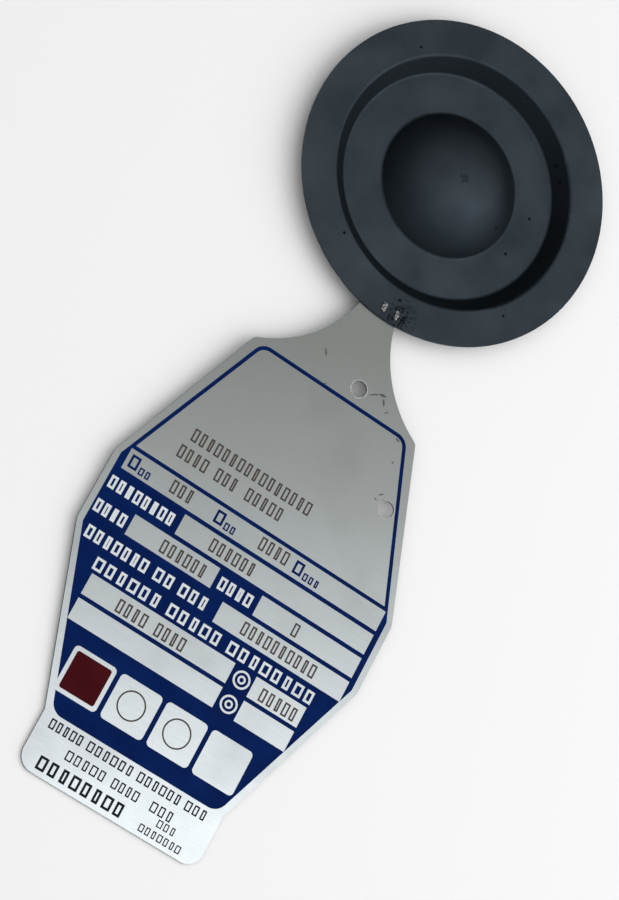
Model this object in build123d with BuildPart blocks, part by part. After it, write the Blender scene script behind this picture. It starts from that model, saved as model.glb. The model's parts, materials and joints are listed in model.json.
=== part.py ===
from build123d import *
import os
from math import asin, atan, cos, degrees, radians, sin

# Prebulged rupture disc with its rating tag tack-welded under the rim.
# Millimetres. +Z up, the disc's axis is Z, and z = 0 is the plane of the seat ring's underside.
# The tag runs away from the disc towards -Y, and its printed face looks up.

# ---- formed disc: radii and heights are those of its upper face ----
sheet_t = 0.4  # gauge of the disc's strip
rim_r = 28.6  # outer edge of the flat clamping rim
step_top_r = 22.3  # where the rim turns down into the conical step
step_foot_r = 19.9  # where the step meets the seat ring
step_depth = 2.9  # rim above seat ring
dome_r = 12.8  # mouth of the dome, which sets the net flow area
dome_rise = 5.95  # apex above seat ring
form_r = 0.7  # radius left by the forming tool at each turn

# ---- tag: lengths run along the tag, widths are full widths ----
tag_t = 0.4  # gauge of the tag's strip
tag_shift = -1.3  # tag's centreline to one side of the disc's axis
root_grip = 4.4  # length of the tag held under the rim
bend_gap = 0.9  # bend line to rim
bend_r = 40.0  # soft bend in the neck, above which the tag droops to the table
neck_w = 7.4
neck_len = 15.1  # rim to shoulders
neck_curve_r = 22.8  # hollow curve from neck to shoulder
shoulder_w = 33.2
shoulder_r = 1.5
flare_len = 29.0  # shoulders to belly
belly_w = 55.4
belly_len = 12.8
belly_r = 2.0
taper_len = 28.9  # belly to lower tab
tab_w = 34.2
tab_len = 9.7
tab_r = 2.9
tie_hole_r = 1.4
tie_hole_sides = (3.4, 17.4)  # each tie hole's distance right of the centreline
tie_hole_drops = (12.6, 27.6)  # and below the rim

# ---- tack welds ----
weld_w = 0.9
weld_len = 1.7
weld_h = 0.14
weld_r = 0.3  # rounded ends
weld_sides = (0.4, 3.0)  # right of the tag's centreline
weld_edge = 1.9  # inside the rim's edge

# ---- print ----
ink_t = 0.03
line_w = 0.65  # border line round the header
header_gap = 0.15  # shoulders to the border's upper edge
ink_top_w = 29.7
ink_belly_w = 53.2
ink_foot_w = 31.7
ink_foot_gap = 0.1  # print's lower edge to the tab
ink_r = 2.6
table_rise = 1.6  # belly's upper corners to the top of the table above them
row_h = 3.75
row_pitch = 4.47
window_right = 25.6  # right end of the table's windows, from the centreline
name_row_left = -25.4
material_left = -12.4
size_left = -19.6
size_right = -2.9
type_left = 5.5
lot_left = 0.1
pressure_drop = 20.9  # first row of the table to the first pressure row
pressure_left = -21.1
pressure_right = 6.9
heat_left = 11.1
heat_right = 21.1
mark_drop = 31.9  # first row of the table to the row of square marks
mark_side = 8.0
mark_pitch = 8.83
mark_left = -17.7
mark_count = 4
mark_r = 0.8
red_margin = 0.72  # bare frame round the red square


# ---- places worked out from the sizes above ----
bend_reach = rim_r + bend_gap
drooped_len = neck_len - bend_gap + flare_len + belly_len + taper_len + tab_len
droop = degrees(asin((step_depth - tag_t) / drooped_len))  # the tag's end then lies on the table
shoulder_y = bend_gap - neck_len
belly_top_y = shoulder_y - flare_len
belly_foot_y = belly_top_y - belly_len
tab_top_y = belly_foot_y - taper_len
tab_end_y = tab_top_y - tab_len
table_y = belly_top_y + table_rise
clear = rim_r  # more than any thickness, for cuts that run right through
near = 0.01  # how closely a corner is found by its place

# The drooping face of the tag: x from its centreline, y from the bend line, z out of the print.
tag_face = Plane(
    origin=(tag_shift, -bend_reach, step_depth),
    x_dir=(1, 0, 0),
    z_dir=(0, -sin(radians(droop)), cos(radians(droop))),
)


def mirrored_outline(right_side):
    """Draws a closed outline from the corner points of its right half, listed from the top down."""
    left_side = [(-x, y) for x, y in reversed(right_side)]
    Polyline(*right_side, *left_side, close=True)


def corners_between(sketch, low_y, high_y):
    """Finds a sketch's corners from one height to another along the tag."""
    return sketch.vertices().filter_by(lambda v: low_y - near < v.Y < high_y + near)


def open_window(left, right, top):
    """Opens one bare window, a row high, in the ink that is being drawn."""
    with Locations(((left + right) / 2, top - row_h / 2)):
        Rectangle(right - left, row_h, mode=Mode.SUBTRACT)


# ---- disc: one sheet, formed from rim to apex ----
with BuildPart() as disc:
    with BuildSketch(Plane.XZ) as disc_section:
        with BuildLine() as upper_face:
            rim = Line((rim_r, step_depth + sheet_t), (step_top_r, step_depth + sheet_t))
            step = Line(rim @ 1, (step_foot_r, sheet_t))
            seat = Line(step @ 1, (dome_r, sheet_t))
            crown_r = (dome_r**2 + dome_rise**2) / (2 * dome_rise)
            RadiusArc(seat @ 1, (0, sheet_t + dome_rise), -crown_r)
            fillet(upper_face.vertices().filter_by(lambda v: dome_r <= v.X < rim_r), form_r)
            offset(amount=sheet_t, side=Side.LEFT)
        make_face()
    revolve(axis=Axis.Z)

# ---- tag plate: a bent strip, cut to its outline and pierced for the tie wire ----
with BuildPart() as tag_plate:
    with BuildSketch(Plane.YZ) as strip_section:
        with BuildLine() as strip_face:
            FilletPolyline(
                (root_grip - rim_r, step_depth),
                (-bend_reach, step_depth),
                (
                    -bend_reach - drooped_len * cos(radians(droop)),
                    step_depth - drooped_len * sin(radians(droop)),
                ),
                radius=bend_r,
            )
            offset(amount=tag_t, side=Side.LEFT)
        make_face()
    extrude(amount=belly_w, both=True)
    with BuildSketch(tag_face) as blank:
        with BuildLine() as right_edge:
            neck_side = Line((neck_w / 2, bend_reach), (neck_w / 2, bend_gap))
            RadiusArc(neck_side @ 1, (shoulder_w / 2, shoulder_y), -neck_curve_r)
            Polyline(
                (shoulder_w / 2, shoulder_y),
                (belly_w / 2, belly_top_y),
                (belly_w / 2, belly_foot_y),
                (tab_w / 2, tab_top_y),
                (tab_w / 2, tab_end_y),
                (0, tab_end_y),
                (0, bend_reach),
                neck_side @ 0,
            )
        make_face()
        mirror(about=Plane.YZ)
        fillet(corners_between(blank, shoulder_y, shoulder_y), shoulder_r)
        fillet(corners_between(blank, belly_foot_y, belly_top_y), belly_r)
        fillet(blank.vertices().group_by(Axis.Y)[0], tab_r)
    extrude(amount=clear, both=True, mode=Mode.INTERSECT)
    with BuildSketch(tag_face) as tie_holes:
        for side, drop in zip(tie_hole_sides, tie_hole_drops):
            with Locations((side, bend_gap - drop)):
                Circle(tie_hole_r)
    extrude(amount=clear, both=True, mode=Mode.SUBTRACT)

# ---- tack welds: low beads on the rim, over the tag's root ----
with BuildPart() as tack_welds:
    with BuildSketch(Plane.XY.offset(step_depth + sheet_t)) as beads:
        for side in weld_sides:
            with Locations((tag_shift + side, weld_edge - rim_r)):
                RectangleRounded(weld_w, weld_len, weld_r)
    extrude(amount=weld_h)
    chamfer(tack_welds.faces().group_by(Axis.Z)[-1].edges(), weld_h / 2)

# ---- blue print: the border line, the field and the bare windows in it ----
ink_foot_y = tab_top_y + ink_foot_gap
ink_top_y = shoulder_y - header_gap
header_foot_y = table_y + line_w
mark_middle_x = mark_left + mark_side / 2  # of the first square
mark_middle_y = table_y - mark_drop - mark_side / 2
header_slope = (ink_belly_w - ink_top_w) / 2 / (ink_top_y - belly_top_y)
header_side = line_w / cos(atan(header_slope))
header_top_x = ink_top_w / 2 + header_slope * line_w - header_side
header_foot_x = ink_top_w / 2 + header_slope * (ink_top_y - header_foot_y) - header_side

with BuildSketch() as header:
    with BuildLine():
        mirrored_outline([(header_top_x, ink_top_y - line_w), (header_foot_x, header_foot_y)])
    make_face()
    fillet(header.vertices().group_by(Axis.Y)[-1], ink_r - line_w)

with BuildPart() as blue_print:
    with BuildSketch(tag_face) as field:
        with BuildLine():
            mirrored_outline(
                [
                    (ink_top_w / 2, ink_top_y),
                    (ink_belly_w / 2, belly_top_y),
                    (ink_belly_w / 2, belly_foot_y),
                    (ink_foot_w / 2, ink_foot_y),
                ]
            )
        make_face()
        fillet(field.vertices().group_by(Axis.Y)[-1], ink_r)
        fillet(field.vertices().group_by(Axis.Y)[0], ink_r)
        add(header.sketch, mode=Mode.SUBTRACT)
        open_window(name_row_left, window_right, table_y)
        open_window(material_left, window_right, table_y - row_pitch)
        open_window(size_left, size_right, table_y - 2 * row_pitch)
        open_window(type_left, window_right, table_y - 2 * row_pitch)
        open_window(lot_left, window_right, table_y - 3 * row_pitch)
        for row in range(2):
            pressure_y = table_y - pressure_drop - row * row_pitch
            open_window(pressure_left, pressure_right, pressure_y)
            open_window(heat_left, heat_right, pressure_y)
        for square in range(mark_count):
            with Locations((mark_middle_x + square * mark_pitch, mark_middle_y)):
                RectangleRounded(mark_side, mark_side, mark_r, mode=Mode.SUBTRACT)
    extrude(amount=ink_t)

# ---- red square: printed inside the first of the square windows ----
with BuildPart() as red_panel:
    with BuildSketch(tag_face) as square_print:
        with Locations((mark_middle_x, mark_middle_y)):
            RectangleRounded(mark_side - 2 * red_margin, mark_side - 2 * red_margin, mark_r / 2)
    extrude(amount=ink_t)

# ---- write the pieces ----
os.makedirs("parts", exist_ok=True)
disc.part.label = "disc"
tag_plate.part.label = "tag_plate"
tack_welds.part.label = "tack_welds"
blue_print.part.label = "blue_print"
red_panel.part.label = "red_panel"
export_step(disc.part, "parts/disc.step")
export_step(tag_plate.part, "parts/tag_plate.step")
export_step(tack_welds.part, "parts/tack_welds.step")
export_step(blue_print.part, "parts/blue_print.step")
export_step(red_panel.part, "parts/red_panel.step")
print("disc and tag reach", rim_r - tag_plate.part.bounding_box().min.Y, "mm; droop", droop, "degrees")
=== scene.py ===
"""A prebulged rupture disc with its printed rating tag, dressed and lit on a plain pale floor.

The frame holds the formed disc, the tag plate, the tack welds and the two printed inks. This file
gives each its finish, adds the tag's words as plain blocks, its stylus marks and its wear, and sets
up the floor, the lights and the camera.
"""

import json
import logging
import math
from dataclasses import dataclass, field
from enum import Enum

import bpy
from mathutils import Matrix, Vector


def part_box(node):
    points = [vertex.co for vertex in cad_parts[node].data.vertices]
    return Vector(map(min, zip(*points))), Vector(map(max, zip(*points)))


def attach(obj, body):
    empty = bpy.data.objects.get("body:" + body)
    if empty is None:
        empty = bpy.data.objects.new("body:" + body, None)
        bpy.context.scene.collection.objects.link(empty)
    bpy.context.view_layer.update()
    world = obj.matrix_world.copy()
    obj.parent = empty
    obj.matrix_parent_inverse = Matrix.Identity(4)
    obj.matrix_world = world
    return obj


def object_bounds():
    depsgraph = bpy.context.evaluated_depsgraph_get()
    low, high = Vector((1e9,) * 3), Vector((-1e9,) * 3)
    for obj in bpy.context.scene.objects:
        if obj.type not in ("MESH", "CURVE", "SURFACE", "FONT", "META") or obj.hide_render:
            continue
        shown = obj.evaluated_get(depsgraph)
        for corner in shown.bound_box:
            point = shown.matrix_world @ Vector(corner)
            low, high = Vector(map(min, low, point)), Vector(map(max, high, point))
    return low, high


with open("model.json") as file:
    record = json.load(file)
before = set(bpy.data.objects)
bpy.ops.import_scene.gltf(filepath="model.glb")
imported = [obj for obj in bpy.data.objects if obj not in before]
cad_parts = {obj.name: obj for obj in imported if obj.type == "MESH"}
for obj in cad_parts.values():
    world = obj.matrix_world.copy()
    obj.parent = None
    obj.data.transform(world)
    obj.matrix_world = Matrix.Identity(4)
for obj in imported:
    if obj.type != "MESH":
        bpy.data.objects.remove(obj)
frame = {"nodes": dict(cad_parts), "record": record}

LOG = logging.getLogger("rupture_disc")
MM = 0.001
BODY = "root"
Colour = tuple[float, float, float, float] | bpy.types.NodeSocket
CAD_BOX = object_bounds()


def srgb(code: str) -> tuple[float, float, float, float]:
    """Turns an sRGB hex colour into linear red, green, blue and alpha.

    Args:
        code: Six hex digits after a hash, such as "#80827f".

    Returns:
        The linear colour, with an alpha of 1.
    """
    shares = [int(code[at : at + 2], 16) / 255 for at in (1, 3, 5)]
    linear = [share / 12.92 if share <= 0.04045 else ((share + 0.055) / 1.055) ** 2.4 for share in shares]
    return (*linear, 1.0)


def add_node(tree: bpy.types.NodeTree, kind: str, settings: dict, links: dict) -> bpy.types.Node:
    """Adds one node with its settings and links.

    Args:
        tree: Node tree that gets the node.
        kind: Blender's name for the node's type.
        settings: Values by input socket or, where no socket has the name, by attribute.
        links: Output sockets by the input socket that each feeds.

    Returns:
        The new node.
    """
    node = tree.nodes.new(kind)
    for name, value in settings.items():
        if isinstance(name, int) or name in node.inputs:
            node.inputs[name].default_value = value
        else:
            setattr(node, name, value)
    for name, output in links.items():
        tree.links.new(output, node.inputs[name])
    return node


class Surface(Enum):
    """What a surface is made of at its outermost, as the shader's metallic value."""

    METAL = 1.0
    COATING = 0.0


def new_material(name: str, surface: Surface) -> tuple[bpy.types.Material, bpy.types.Node]:
    """Makes a material with one surface shader.

    Args:
        name: The material's plain name.
        surface: Bare metal, or a coating such as ink, scorch or paint.

    Returns:
        The material and its surface shader.
    """
    material = bpy.data.materials.new(name)
    material.use_nodes = True
    tree = material.node_tree
    tree.nodes.clear()
    shader = add_node(tree, "ShaderNodeBsdfPrincipled", {"Metallic": surface.value}, {})
    add_node(tree, "ShaderNodeOutputMaterial", {}, {"Surface": shader.outputs["BSDF"]})
    return material, shader


def grain(tree: bpy.types.NodeTree, size: Vector, detail: float) -> bpy.types.NodeSocket:
    """Adds noise whose features have a given size along each axis.

    Args:
        tree: Node tree that gets the noise.
        size: Feature length along X, Y and Z in millimetres.
        detail: Octaves of finer noise.

    Returns:
        The noise's value, from 0 to 1.
    """
    place = add_node(tree, "ShaderNodeTexCoord", {}, {})
    scale = Vector(1 / (side * MM) for side in size)
    spread = add_node(tree, "ShaderNodeMapping", {"Scale": scale}, {"Vector": place.outputs["Object"]})
    settings = {"Scale": 1.0, "Detail": detail}
    noise = add_node(tree, "ShaderNodeTexNoise", settings, {"Vector": spread.outputs["Vector"]})
    return noise.outputs["Fac"]


def stretch(
    tree: bpy.types.NodeTree,
    value: bpy.types.NodeSocket,
    start: tuple[float, float],
    end: tuple[float, float],
) -> bpy.types.NodeSocket:
    """Maps a value from one range to another, clamped at both ends.

    Args:
        tree: Node tree that gets the node.
        value: The value to map.
        start: Lowest and highest value that come in.
        end: Values that those two become.

    Returns:
        The mapped value.
    """
    settings = {"From Min": start[0], "From Max": start[1], "To Min": end[0], "To Max": end[1]}
    return add_node(tree, "ShaderNodeMapRange", settings, {"Value": value}).outputs["Result"]


def blend_colours(
    tree: bpy.types.NodeTree, share: bpy.types.NodeSocket, low: Colour, high: Colour
) -> bpy.types.NodeSocket:
    """Blends two colours by a share.

    Args:
        tree: Node tree that gets the node.
        share: 0 gives the low colour and 1 the high one.
        low: Linear colour, or the socket that gives it.
        high: Linear colour, or the socket that gives it.

    Returns:
        The blended colour.
    """
    node = add_node(tree, "ShaderNodeMix", {"data_type": "RGBA"}, {0: share})
    for place, colour in ((6, low), (7, high)):
        if isinstance(colour, tuple):
            node.inputs[place].default_value = colour
        else:
            tree.links.new(colour, node.inputs[place])
    return node.outputs[2]


def specks(tree: bpy.types.NodeTree, spacing_mm: float, radius_mm: float) -> bpy.types.NodeSocket:
    """Adds scattered round specks of uneven size.

    Args:
        tree: Node tree that gets the specks.
        spacing_mm: Usual distance between two specks.
        radius_mm: Largest radius of a speck.

    Returns:
        1 inside a speck and 0 outside.
    """
    place = add_node(tree, "ShaderNodeTexCoord", {}, {})
    settings = {"Scale": 1 / (spacing_mm * MM)}
    cells = add_node(tree, "ShaderNodeTexVoronoi", settings, {"Vector": place.outputs["Object"]})
    edge = radius_mm / spacing_mm
    return stretch(tree, cells.outputs["Distance"], (0.7 * edge, edge), (1, 0))


def spot(
    tree: bpy.types.NodeTree, centre: Vector, radii_mm: tuple[float, float], broken: bpy.types.NodeSocket
) -> bpy.types.NodeSocket:
    """Adds one soft spot that another value breaks up.

    Args:
        tree: Node tree that gets the spot.
        centre: The spot's middle, in metres.
        radii_mm: Radius that is fully covered, and radius at which it has faded out.
        broken: Value from 0 to 1 that the spot is multiplied by.

    Returns:
        The spot's cover, from 0 to 1.
    """
    place = add_node(tree, "ShaderNodeTexCoord", {}, {})
    settings = {"operation": "DISTANCE", 1: centre}
    away = add_node(tree, "ShaderNodeVectorMath", settings, {0: place.outputs["Object"]})
    cover = stretch(tree, away.outputs["Value"], (radii_mm[0] * MM, radii_mm[1] * MM), (1, 0))
    settings = {"operation": "MULTIPLY"}
    return add_node(tree, "ShaderNodeMath", settings, {0: cover, 1: broken}).outputs[0]


def roughen(
    tree: bpy.types.NodeTree, shader: bpy.types.Node, height: bpy.types.NodeSocket, depth_mm: float
) -> None:
    """Gives a shader bump from a height value.

    Args:
        tree: Node tree of the shader.
        shader: Surface shader that gets the bump.
        height: Height from 0 to 1.
        depth_mm: Height that a value of 1 stands for.
    """
    settings = {"Strength": 1.0, "Distance": depth_mm * MM}
    bump = add_node(tree, "ShaderNodeBump", settings, {"Height": height})
    tree.links.new(bump.outputs["Normal"], shader.inputs["Normal"])


@dataclass(frozen=True)
class OxidisedNickelAlloy:
    """Formed and heat-tinted nickel alloy strip.

    The oxide gives a dull slate grey with faint clouds. The step's walls and the dome's flanks are painted
    darker, as painted shade for the dark surroundings that they reflect. Specks of dirt are scattered over
    it, one small smudge lies on the dome's top, and weld spatter lies round the second weld.
    """

    flat: str = "#394046"
    cloud: str = "#32393f"
    slope_shade: str = "#282f35"
    speck: str = "#101417"
    cloud_mm: float = 9.0
    speck_spacing_mm: float = 4.6
    speck_mm: float = 0.32
    smudge_mm: tuple[float, float] = (0.3, 1.3)
    spatter_mm: tuple[float, float] = (1.2, 3.8)
    pit_mm: float = 0.5
    grit_mm: float = 0.25
    grit_depth_mm: float = 0.012
    wave_mm: float = 16.0
    wave_depth_mm: float = 0.9
    roughness: tuple[float, float] = (0.42, 0.56)

    def material(self) -> bpy.types.Material:
        """Builds the material.

        Returns:
            The finished material.
        """
        material, shader = new_material("oxidised_nickel_alloy", Surface.METAL)
        tree = material.node_tree
        clouds = grain(tree, Vector((self.cloud_mm,) * 3), 4.0)
        cloudy = stretch(tree, clouds, (0.35, 0.65), (0, 1))
        colour = blend_colours(tree, cloudy, srgb(self.flat), srgb(self.cloud))
        # Painted shade: surfaces that slope away from flat, the step's walls and the dome's flanks, are
        # darkened to stand for the dark reflections they pick up.
        surface = add_node(tree, "ShaderNodeNewGeometry", {}, {})
        facing = add_node(tree, "ShaderNodeSeparateXYZ", {}, {0: surface.outputs["Normal"]})
        flatness = stretch(tree, facing.outputs["Z"], (0.80, 0.995), (0, 1))
        colour = blend_colours(tree, flatness, srgb(self.slope_shade), colour)
        dark = srgb(self.speck)
        colour = blend_colours(tree, specks(tree, self.speck_spacing_mm, self.speck_mm), colour, dark)
        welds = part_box("tack_welds")
        second_weld = Vector((welds[1].x, (welds[0].y + welds[1].y) / 2, welds[0].z))
        pits = grain(tree, Vector((self.pit_mm,) * 3), 2.0)
        top = Vector((0, 0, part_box("disc")[1].z))
        smudge = spot(tree, top, self.smudge_mm, stretch(tree, pits, (0.4, 0.6), (0.1, 0.7)))
        colour = blend_colours(tree, smudge, colour, dark)
        spatter = spot(tree, second_weld, self.spatter_mm, stretch(tree, pits, (0.48, 0.58), (0, 1)))
        colour = blend_colours(tree, spatter, colour, dark)
        tree.links.new(colour, shader.inputs["Base Color"])
        tree.links.new(stretch(tree, clouds, (0.3, 0.7), self.roughness), shader.inputs["Roughness"])
        grit = stretch(tree, grain(tree, Vector((self.grit_mm,) * 3), 2.0), (0, 1), (0, self.grit_depth_mm))
        waves = grain(tree, Vector((self.wave_mm,) * 3), 0.0)
        settings = {"operation": "MULTIPLY_ADD", 1: self.wave_depth_mm}
        height = add_node(tree, "ShaderNodeMath", settings, {0: waves, 2: grit})
        roughen(tree, shader, height.outputs[0], 1.0)
        return material


@dataclass(frozen=True)
class RolledStrip:
    """Bare rolled nickel alloy strip, satin, with fine streaks along the rolling direction.

    The streaks run across the tag. Its colour darkens towards the neck and lightens towards the lower tab, as
    a painted reflection, and its sheared edge walls are painted dark, as painted shade.
    """

    neck: str = "#7c807d"
    middle: str = "#8e9291"
    table: str = "#afb5b7"
    tab: str = "#d3d9dc"
    edge_shade: str = "#2f302f"
    streak: str = "#6d6f70"
    smear: str = "#6a6c6a"
    streak_mm: tuple[float, float, float] = (2.4, 0.2, 2.4)
    streak_depth_mm: float = 0.004
    smear_mm: float = 14.0
    roughness: tuple[float, float] = (0.32, 0.44)
    reflection_run: tuple[float, float, float] = (-0.3, 1.0, 0.0)
    neck_run_mm: float = -35.0
    tab_run_mm: float = -122.0

    def material(self) -> bpy.types.Material:
        """Builds the material.

        Returns:
            The finished material.
        """
        material, shader = new_material("rolled_alloy_strip", Surface.METAL)
        tree = material.node_tree
        # Painted reflection: the ramp along the tag makes it darker at the neck and lighter towards the lower
        # tab.
        place = add_node(tree, "ShaderNodeTexCoord", {}, {})
        settings = {"operation": "DOT_PRODUCT", 1: self.reflection_run}
        along = add_node(tree, "ShaderNodeVectorMath", settings, {0: place.outputs["Object"]})
        share = stretch(tree, along.outputs["Value"], (self.tab_run_mm * MM, self.neck_run_mm * MM), (1, 0))
        ramp = add_node(tree, "ShaderNodeValToRGB", {}, {"Fac": share})
        ramp.color_ramp.elements[0].color = srgb(self.neck)
        ramp.color_ramp.elements[1].color = srgb(self.tab)
        for position, code in ((0.3, self.middle), (0.62, self.table)):
            ramp.color_ramp.elements.new(position).color = srgb(code)
        streaks = grain(tree, Vector(self.streak_mm), 2.0)
        smears = grain(tree, Vector((self.smear_mm,) * 3), 3.0)
        pale = stretch(tree, streaks, (0.3, 0.7), (0.0, 0.10))
        colour = blend_colours(tree, pale, ramp.outputs["Color"], srgb(self.streak))
        smudge = stretch(tree, smears, (0.5, 0.75), (0.0, 0.16))
        colour = blend_colours(tree, smudge, colour, srgb(self.smear))
        # Painted shade: walls that face sideways, the sheared edges and the tie holes' walls, are painted
        # dark.
        surface = add_node(tree, "ShaderNodeNewGeometry", {}, {})
        facing = add_node(tree, "ShaderNodeSeparateXYZ", {}, {0: surface.outputs["Normal"]})
        level = add_node(tree, "ShaderNodeMath", {"operation": "ABSOLUTE"}, {0: facing.outputs["Z"]})
        edge = stretch(tree, level.outputs[0], (0.3, 0.9), (1, 0))
        colour = blend_colours(tree, edge, colour, srgb(self.edge_shade))
        tree.links.new(colour, shader.inputs["Base Color"])
        tree.links.new(stretch(tree, smears, (0.3, 0.7), self.roughness), shader.inputs["Roughness"])
        roughen(tree, shader, streaks, self.streak_depth_mm)
        return material


@dataclass(frozen=True)
class ScreenInk:
    """Screen-printed epoxy ink: a thin even film with a low gloss and a faint orange peel."""

    name: str
    colour: str
    thin: str
    roughness: float = 0.42
    gloss: float = 0.03
    peel_mm: float = 0.6
    peel_depth_mm: float = 0.006
    patch_mm: float = 5.0

    def material(self) -> bpy.types.Material:
        """Builds the material.

        Returns:
            The finished material.
        """
        material, shader = new_material(self.name, Surface.COATING)
        tree = material.node_tree
        patches = grain(tree, Vector((self.patch_mm,) * 3), 4.0)
        share = stretch(tree, patches, (0.4, 0.8), (0, 1))
        colour = blend_colours(tree, share, srgb(self.colour), srgb(self.thin))
        tree.links.new(colour, shader.inputs["Base Color"])
        shader.inputs["Roughness"].default_value = self.roughness
        shader.inputs["Specular IOR Level"].default_value = self.gloss
        peel = grain(tree, Vector((self.peel_mm,) * 3), 1.0)
        roughen(tree, shader, peel, self.peel_depth_mm)
        return material


@dataclass(frozen=True)
class StylusMark:
    """Metal scorched and broken by an electric stylus: a thin brown line of uneven depth."""

    name: str = "stylus_mark"
    dark: str = "#211914"
    light: str = "#43382f"
    pit_mm: float = 0.22
    pit_depth_mm: float = 0.01
    roughness: float = 0.6

    def material(self) -> bpy.types.Material:
        """Builds the material.

        Returns:
            The finished material.
        """
        material, shader = new_material(self.name, Surface.COATING)
        tree = material.node_tree
        pits = grain(tree, Vector((self.pit_mm,) * 3), 2.0)
        share = stretch(tree, pits, (0.35, 0.65), (0, 1))
        colour = blend_colours(tree, share, srgb(self.dark), srgb(self.light))
        tree.links.new(colour, shader.inputs["Base Color"])
        shader.inputs["Roughness"].default_value = self.roughness
        roughen(tree, shader, pits, self.pit_depth_mm)
        return material


@dataclass(frozen=True)
class WeldNugget:
    """Nickel alloy melted by a tack weld: pale, frosted and pitted."""

    pale: str = "#a3a6a4"
    burnt: str = "#3c3f41"
    pit_mm: float = 0.35
    pit_depth_mm: float = 0.05
    roughness: float = 0.5

    def material(self) -> bpy.types.Material:
        """Builds the material.

        Returns:
            The finished material.
        """
        material, shader = new_material("tack_weld_metal", Surface.METAL)
        tree = material.node_tree
        pits = grain(tree, Vector((self.pit_mm,) * 3), 3.0)
        share = stretch(tree, pits, (0.38, 0.56), (0, 1))
        colour = blend_colours(tree, share, srgb(self.pale), srgb(self.burnt))
        tree.links.new(colour, shader.inputs["Base Color"])
        shader.inputs["Roughness"].default_value = self.roughness
        roughen(tree, shader, pits, self.pit_depth_mm)
        return material


@dataclass(frozen=True)
class TagFace:
    """The tag's printed face: where it lies and how its print is measured.

    Places on it are in millimetres, x from the tag's centreline and y from the table's upper edge.
    """

    table_drop_mm: float = 41.6  # bend line to the table's upper edge, along the tag
    gauge_mm: float = 0.4

    def frame_axes(self) -> Matrix:
        """Finds the face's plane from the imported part.

        Returns:
            A matrix whose columns are the face's x, y and outward axes and its origin, in metres.
        """
        hole = next(mount for mount in frame["record"]["mounts"] if mount["name"] == "tie_hole_upper")
        outward = Vector(hole["axis"]).normalized()
        across = Vector((1, 0, 0))
        along = outward.cross(across)
        on_face = Vector(hole["pos_m"]) + outward * self.gauge_mm / 2 * MM
        low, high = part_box("tag_plate")
        bend = on_face + along * (high.z - on_face.z) / along.z
        origin = Vector(((low.x + high.x) / 2, bend.y, high.z)) - along * self.table_drop_mm * MM
        axes = Matrix((across, along, outward)).transposed().to_4x4()
        axes.translation = origin
        return axes

    def hole_centres(self) -> list[tuple[float, float]]:
        """Finds the tie holes' centres on the face.

        Returns:
            Their x and y in millimetres.
        """
        onto_face = self.frame_axes().inverted()
        mounts = [mount for mount in frame["record"]["mounts"] if mount["name"].startswith("tie_hole")]
        return [tuple((onto_face @ Vector(mount["pos_m"])).xy / MM) for mount in mounts]


@dataclass(frozen=True)
class Word:
    """One word's place on the tag: its left and right ends, its upper edge and its height."""

    left: float
    right: float
    top: float
    height: float
    letters: int
    stroke: float = 0.42
    filled: float = 0.78

    def rectangles(self) -> list[tuple[float, float, float, float]]:
        """Lists the strokes of the word's blocks.

        Returns:
            Left, bottom, right and top of each stroke.
        """
        pitch = (self.right - self.left) / (self.letters - 1 + self.filled)
        bottom = self.top - self.height
        strokes = []
        for letter in range(self.letters):
            narrower = 0.12 * pitch * (letter * 7 % 3)
            left = self.left + letter * pitch + narrower / 2
            right = left + self.filled * pitch - narrower
            strokes.append((left, bottom, left + self.stroke, self.top))
            strokes.append((right - self.stroke, bottom, right, self.top))
            strokes.append((left + self.stroke, self.top - self.stroke, right - self.stroke, self.top))
            strokes.append((left + self.stroke, bottom, right - self.stroke, bottom + self.stroke))
        return strokes


@dataclass
class WordBlocks:
    """A group of words in one ink or one kind of mark, laid just above the surface below it."""

    name: str
    words: list[Word]
    lift_mm: float
    slot: str
    face: TagFace = field(default_factory=TagFace)

    def build(self, finish: bpy.types.Material) -> bpy.types.Object:
        """Builds the words as one mesh of flat strokes.

        Args:
            finish: Material of the strokes.

        Returns:
            The new piece, riding on the part.
        """
        corners, faces = [], []
        axes = self.face.frame_axes()
        for word in self.words:
            for left, bottom, right, top in word.rectangles():
                first = len(corners)
                for x, y in ((left, bottom), (right, bottom), (right, top), (left, top)):
                    corners.append(axes @ Vector((x * MM, y * MM, self.lift_mm * MM)))
                faces.append((first, first + 1, first + 2, first + 3))
        return make_piece(self.name, corners, faces, finish)


def make_piece(
    name: str, corners: list[Vector], faces: list[tuple[int, ...]], finish: bpy.types.Material
) -> bpy.types.Object:
    """Makes a mesh piece that rides on the part.

    Args:
        name: The piece's plain name.
        corners: Places of its vertices in metres.
        faces: Vertex numbers of each face.
        finish: Its material.

    Returns:
        The new piece.
    """
    mesh = bpy.data.meshes.new(name)
    mesh.from_pydata(corners, [], faces)
    mesh.materials.append(finish)
    piece = bpy.data.objects.new(name, mesh)
    bpy.context.scene.collection.objects.link(piece)
    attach(piece, BODY)
    LOG.info("%s: %d faces", name, len(faces))
    return piece


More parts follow.
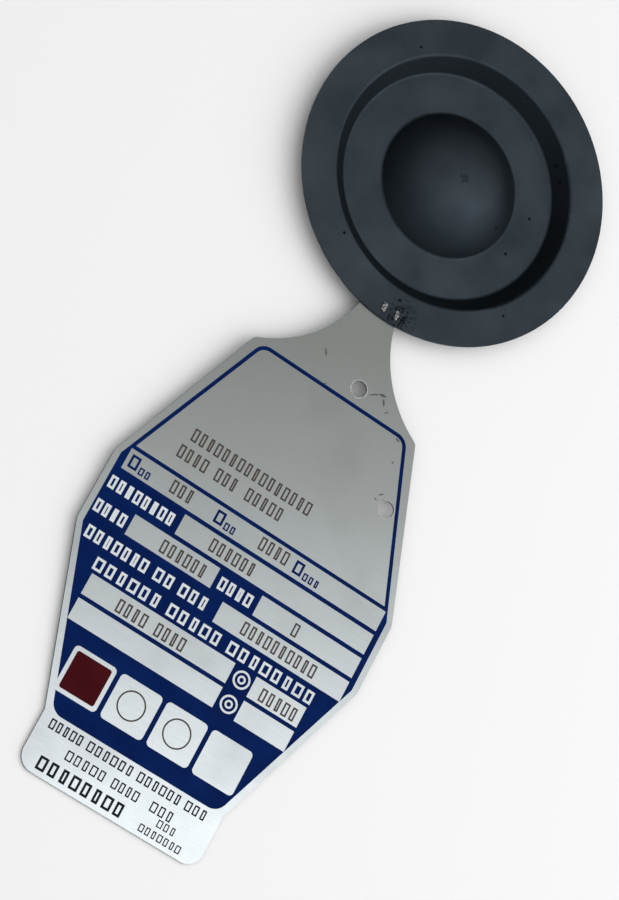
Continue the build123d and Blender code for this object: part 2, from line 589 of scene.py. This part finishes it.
@dataclass
class RingMarks:
    """Plain rings on the tag's face, each of one width."""

    name: str
    centres: list[tuple[float, float]]
    radius_mm: float
    width_mm: float
    lift_mm: float
    slot: str
    steps: int = 48
    face: TagFace = field(default_factory=TagFace)

    def build(self, finish: bpy.types.Material) -> bpy.types.Object:
        """Builds the rings as one mesh.

        Args:
            finish: Material of the rings.

        Returns:
            The new piece, riding on the part.
        """
        corners, faces = [], []
        axes = self.face.frame_axes()
        for x, y in self.centres:
            first = len(corners)
            for step in range(self.steps):
                turn = math.tau * step / self.steps
                for radius in (self.radius_mm - self.width_mm, self.radius_mm):
                    place = (x + radius * math.cos(turn), y + radius * math.sin(turn), self.lift_mm)
                    corners.append(axes @ (Vector(place) * MM))
            for step in range(self.steps):
                here, after = first + 2 * step, first + 2 * ((step + 1) % self.steps)
                faces.append((here, here + 1, after + 1, after))
        return make_piece(self.name, corners, faces, finish)


@dataclass(frozen=True)
class Scratch:
    """One short tapered mark: its middle, length, width and direction on the tag's face."""

    x: float
    y: float
    length: float
    width: float
    degrees: float


@dataclass
class WearMarks:
    """Scratches, a crease and small stains on the tag's face."""

    name: str
    marks: list[Scratch]
    lift_mm: float = 0.006
    face: TagFace = field(default_factory=TagFace)

    def build(self, finish: bpy.types.Material) -> bpy.types.Object:
        """Builds the marks as tapered slivers.

        Args:
            finish: Material of the marks.

        Returns:
            The new piece, riding on the part.
        """
        corners, faces = [], []
        axes = self.face.frame_axes()
        for mark in self.marks:
            turn = math.radians(mark.degrees)
            run = Vector((math.cos(turn), math.sin(turn), 0)) * mark.length / 2
            side = Vector((-math.sin(turn), math.cos(turn), 0)) * mark.width / 2
            middle = Vector((mark.x, mark.y, self.lift_mm))
            first = len(corners)
            lower = (-run, -run * 0.4 - side, run * 0.5 - side * 0.8)
            upper = (run, run * 0.3 + side, -run * 0.6 + side * 0.7)
            outline = lower + upper
            corners += [axes @ ((middle + place) * MM) for place in outline]
            faces.append(tuple(range(first, first + len(outline))))
        return make_piece(self.name, corners, faces, finish)


@dataclass
class FormedDisc:
    """The disc and the welds on its rim, which keep the frame's own shapes."""

    oxide: OxidisedNickelAlloy = OxidisedNickelAlloy()
    weld: WeldNugget = WeldNugget()

    def dress(self) -> None:
        """Gives the disc and the tack welds their finishes."""
        dress_node("disc", self.oxide.material())
        dress_node("tack_welds", self.weld.material())


def dress_node(name: str, finish: bpy.types.Material) -> None:
    """Gives one node of the frame a finish in each of its material slots.

    Args:
        name: The node's name.
        finish: The material it gets.
    """
    node = frame["nodes"][name]
    for place in node.material_slots:
        place.material = finish
    LOG.info("%s: %s", name, finish.name)


@dataclass
class RatingTag:
    """The tag plate, its inks, the blocks that stand for its words, its stylus marks and its wear."""

    on_metal_mm: float = 0.008
    on_ink_mm: float = 0.036
    label_height: float = 2.2
    stylus_height: float = 2.3
    stylus_pitch: float = 1.5
    stylus_stroke: float = 0.3
    stylus_filled: float = 0.72
    sign_places: tuple[tuple[float, float], ...] = ((9.1, -22.75), (9.1, -27.25))
    sign_ring: tuple[float, float] = (1.55, 0.36)  # radius and width, as in the three below
    sign_inner_ring: tuple[float, float] = (0.72, 0.34)
    burr_highlight_ring: tuple[float, float] = (1.62, 0.16)
    mark_ring: tuple[float, float] = (2.5, 0.27)
    mark_places: tuple[tuple[float, float], ...] = ((-5.0, -35.8), (3.8, -35.8))
    strip: RolledStrip = RolledStrip()
    navy: ScreenInk = ScreenInk("navy_screen_ink", "#001a4f", "#02225c")
    red: ScreenInk = ScreenInk("dark_red_screen_ink", "#3e080f", "#480e15")
    white: ScreenInk = ScreenInk("white_screen_ink", "#dde2e4", "#d0d6d9")
    black: ScreenInk = ScreenInk("black_screen_ink", "#171b24", "#23272f")
    stylus: StylusMark = StylusMark()

    def labels(self) -> list[Word]:
        """Lists the words left bare in the blue field.

        Returns:
            The words, row by row.
        """
        height = self.label_height
        return [
            Word(-26.0, -13.6, -5.4, height, 8),
            Word(-26.2, -20.4, -9.9, height, 4),
            Word(-2.0, 4.4, -9.9, height, 4),
            Word(-25.4, -13.6, -14.3, height, 7),
            Word(-12.2, -8.6, -14.3, height, 2),
            Word(-7.3, -1.9, -14.3, height, 3),
            Word(-21.6, -9.0, -18.1, height, 6),
            Word(-7.4, 2.8, -18.1, height, 5),
            Word(4.4, 21.4, -18.1, height, 8),
        ]

    def row_names(self) -> list[Word]:
        """Lists the navy marks in the table's first row: each a tall block and a short lower one.

        Returns:
            The marks, from left to right.
        """
        words = []
        for left, tail in ((-24.7, 2), (-7.9, 2), (7.9, 3)):
            words.append(Word(left, left + 1.7, -0.7, 2.3, 1, 0.42))
            words.append(Word(left + 2.1, left + 2.1 + 1.05 * tail, -1.9, 1.3, tail, 0.26))
        return words

    def stylus_words(self) -> list[Word]:
        """Lists the stylus marks in the header and the windows.

        Returns:
            The marks, from the top of the tag down.
        """
        places = (
            (-17.7, 8.7, 16),
            (-18.5, 5.2, 4),
            (-11.2, 5.2, 3),
            (-5.1, 5.2, 5),
            (-16.7, -0.5, 3),
            (0.9, -0.5, 4),
            (-6.3, -5.2, 6),
            (-13.4, -9.8, 6),
            (12.7, -9.8, 1),
            (5.0, -14.1, 10),
            (-15.0, -21.9, 4),
            (-7.6, -21.9, 4),
            (13.0, -21.9, 5),
        )
        words = []
        for left, top, letters in places:
            right = left + self.stylus_pitch * (letters - 1 + self.stylus_filled)
            shape = (self.stylus_height, letters, self.stylus_stroke, self.stylus_filled)
            words.append(Word(left, right, top, *shape))
        return words

    def tab_words(self) -> list[Word]:
        """Lists the near-black words on the lower tab.

        Returns:
            The words, line by line.
        """
        return [
            Word(-15.3, -9.2, -43.9, 1.7, 5, 0.26),
            Word(-8.2, 0.4, -43.9, 1.7, 6, 0.26),
            Word(1.4, 9.6, -43.9, 1.7, 6, 0.26),
            Word(10.6, 14.6, -43.9, 1.7, 3, 0.26),
            Word(-10.5, -3.2, -46.9, 1.7, 5, 0.24),
            Word(-1.8, 3.2, -46.9, 1.7, 4, 0.24),
            Word(5.6, 9.8, -46.9, 1.7, 3, 0.24),
            Word(-14.0, 2.0, -49.8, 2.3, 8, 0.42),
            Word(7.9, 11.3, -48.9, 1.3, 3, 0.2),
            Word(5.5, 13.4, -50.9, 1.3, 7, 0.2),
        ]

    def wear(self) -> list[Scratch]:
        """Lists the scratches, the crease and the stains round the neck and the tie holes.

        Returns:
            The marks.
        """
        return [
            Scratch(-4.7, 32.1, 1.6, 0.34, -58),
            Scratch(6.2, 30.6, 2.2, 0.26, 34),
            Scratch(7.6, 31.3, 1.5, 0.5, 10),
            Scratch(8.3, 30.3, 1.4, 0.4, -62),
            Scratch(9.5, 29.1, 0.8, 0.26, 50),
            Scratch(13.5, 26.2, 1.0, 0.36, -20),
            Scratch(14.6, 22.4, 0.7, 0.26, 70),
            Scratch(15.4, 16.6, 1.0, 0.26, 40),
            Scratch(14.9, 15.4, 0.6, 0.24, -10),
            Scratch(16.1, 15.9, 0.5, 0.2, 75),
            Scratch(-2.2, 27.4, 0.6, 0.18, 20),
        ]

    def build(self) -> None:
        """Dresses the tag's nodes and builds what is printed, marked and worn on them."""
        navy = self.navy.material()
        stylus = self.stylus.material()
        dress_node("tag_plate", self.strip.material())
        dress_node("blue_print", navy)
        dress_node("red_panel", self.red.material())
        white = self.white.material()
        signs = list(self.sign_places)
        WordBlocks("white_labels", self.labels(), self.on_ink_mm, "tag_metal").build(white)
        RingMarks("white_rings", signs, *self.sign_ring, self.on_ink_mm, "tag_metal").build(white)
        RingMarks("white_inner_rings", signs, *self.sign_inner_ring, self.on_ink_mm, "tag_metal").build(white)
        # The punched burr round each tie hole is real. Its pale colour is a painted highlight where the
        # raised lip catches the light.
        burr = StylusMark("punch_burr_highlight", "#8b8d8b", "#c4c6c4").material()
        holes = TagFace().hole_centres()
        RingMarks("hole_burr_highlights", holes, *self.burr_highlight_ring, self.on_metal_mm, "tag_metal").build(burr)
        WordBlocks("row_names", self.row_names(), self.on_metal_mm, "blue_ink").build(navy)
        WordBlocks("stylus_marks", self.stylus_words(), self.on_metal_mm, "tag_metal").build(stylus)
        marks = list(self.mark_places)
        RingMarks("stylus_rings", marks, *self.mark_ring, self.on_metal_mm, "tag_metal").build(stylus)
        WordBlocks("tab_words", self.tab_words(), self.on_metal_mm, "blue_ink").build(self.black.material())
        WearMarks("neck_wear", self.wear()).build(StylusMark("wear_stain", "#302f2d", "#5d5c59").material())


@dataclass(frozen=True)
class AreaLamp:
    """One soft lamp: where it stands and how large and bright it is, in metres and watts."""

    name: str
    place: tuple[float, float, float]
    size: float
    watts: float

    def build(self, target: Vector) -> None:
        """Builds the lamp and turns it to a target.

        Args:
            target: The point that it faces, in metres.
        """
        data = bpy.data.lights.new(self.name, "AREA")
        data.shape = "DISK"
        data.size = self.size
        data.energy = self.watts
        lamp = bpy.data.objects.new(self.name, data)
        lamp.location = self.place
        lamp.rotation_euler = (target - Vector(self.place)).to_track_quat("-Z", "Y").to_euler()
        bpy.context.scene.collection.objects.link(lamp)


@dataclass
class Studio:
    """The floor, the lights and the camera."""

    floor_side: float = 6.0
    floor_colour: str = "#fcfcfc"
    floor_gap_mm: float = 0.02
    floor_roughness: float = 0.9
    zenith: float = 1.0
    horizon: float = 0.15
    bright_side: tuple[float, float, float] = (0.35, -0.1, 1.0)
    aim_mm: tuple[float, float, float] = (-0.40, -54.81, 2.0)
    distance_mm: float = 452.8
    azimuth: float = -39.10
    elevation: float = 64.91
    roll: float = -69.77
    lens_mm: float = 110.05
    lamps: tuple[AreaLamp, ...] = (
        AreaLamp("side_lamp", (0.40, 0.04, 0.30), 0.50, 0.75),
        AreaLamp("overhead_lamp", (0.13, -0.12, 0.42), 0.16, 0.07),
    )

    def camera_turn(self) -> Matrix:
        """Works out the camera's rotation from its azimuth, elevation and roll.

        Returns:
            The rotation, whose columns are the camera's right, up and backward axes.
        """
        azimuth, elevation, roll = (math.radians(a) for a in (self.azimuth, self.elevation, self.roll))
        level = math.cos(elevation)
        back = Vector((math.sin(azimuth) * level, -math.cos(azimuth) * level, math.sin(elevation)))
        right = Vector((0, 0, 1)).cross(back).normalized()
        up = right * math.sin(roll) + back.cross(right) * math.cos(roll)
        return Matrix((up.cross(back), up, back)).transposed()

    def build_camera(self) -> None:
        """Builds the camera and makes it the scene's own."""
        data = bpy.data.cameras.new("camera")
        data.lens = self.lens_mm
        turn = self.camera_turn()
        camera = bpy.data.objects.new("camera", data)
        camera.matrix_world = turn.to_4x4()
        camera.location = Vector(self.aim_mm) * MM + turn.col[2] * self.distance_mm * MM
        bpy.context.scene.collection.objects.link(camera)
        bpy.context.scene.camera = camera

    def build_floor(self) -> None:
        """Builds a plain pale floor under the part's lowest point."""
        half = self.floor_side / 2
        level = CAD_BOX[0].z - self.floor_gap_mm * MM
        mesh = bpy.data.meshes.new("floor")
        corners = [(x, y, level) for x, y in ((-half, -half), (half, -half), (half, half), (-half, half))]
        mesh.from_pydata(corners, [], [(0, 1, 2, 3)])
        material, shader = new_material("matt_white_board", Surface.COATING)
        shader.inputs["Base Color"].default_value = srgb(self.floor_colour)
        shader.inputs["Roughness"].default_value = self.floor_roughness
        mesh.materials.append(material)
        floor = bpy.data.objects.new("floor", mesh)
        bpy.context.scene.collection.objects.link(floor)

    def build_sky(self) -> None:
        """Builds a soft overhead sky, which fades towards the horizon."""
        world = bpy.data.worlds.new("studio")
        world.use_nodes = True
        tree = world.node_tree
        tree.nodes.clear()
        place = add_node(tree, "ShaderNodeTexCoord", {}, {})
        settings = {"operation": "DOT_PRODUCT", 1: self.bright_side}
        height = add_node(tree, "ShaderNodeVectorMath", settings, {0: place.outputs["Generated"]})
        strength = stretch(tree, height.outputs["Value"], (0.1, 0.85), (self.horizon, self.zenith))
        light = add_node(tree, "ShaderNodeBackground", {"Color": (1, 1, 1, 1)}, {"Strength": strength})
        add_node(tree, "ShaderNodeOutputWorld", {}, {"Surface": light.outputs[0]})
        bpy.context.scene.world = world

    def build(self) -> None:
        """Builds the whole studio."""
        self.build_camera()
        self.build_floor()
        self.build_sky()
        for lamp in self.lamps:
            lamp.build(Vector(self.aim_mm) * MM)
        bpy.context.scene.view_settings.view_transform = "Standard"


def main() -> None:
    """Builds the part's dressing and the studio in order."""
    logging.basicConfig(level=logging.INFO)
    FormedDisc().dress()
    RatingTag().build()
    Studio().build()


if __name__ == "__main__":
    main()
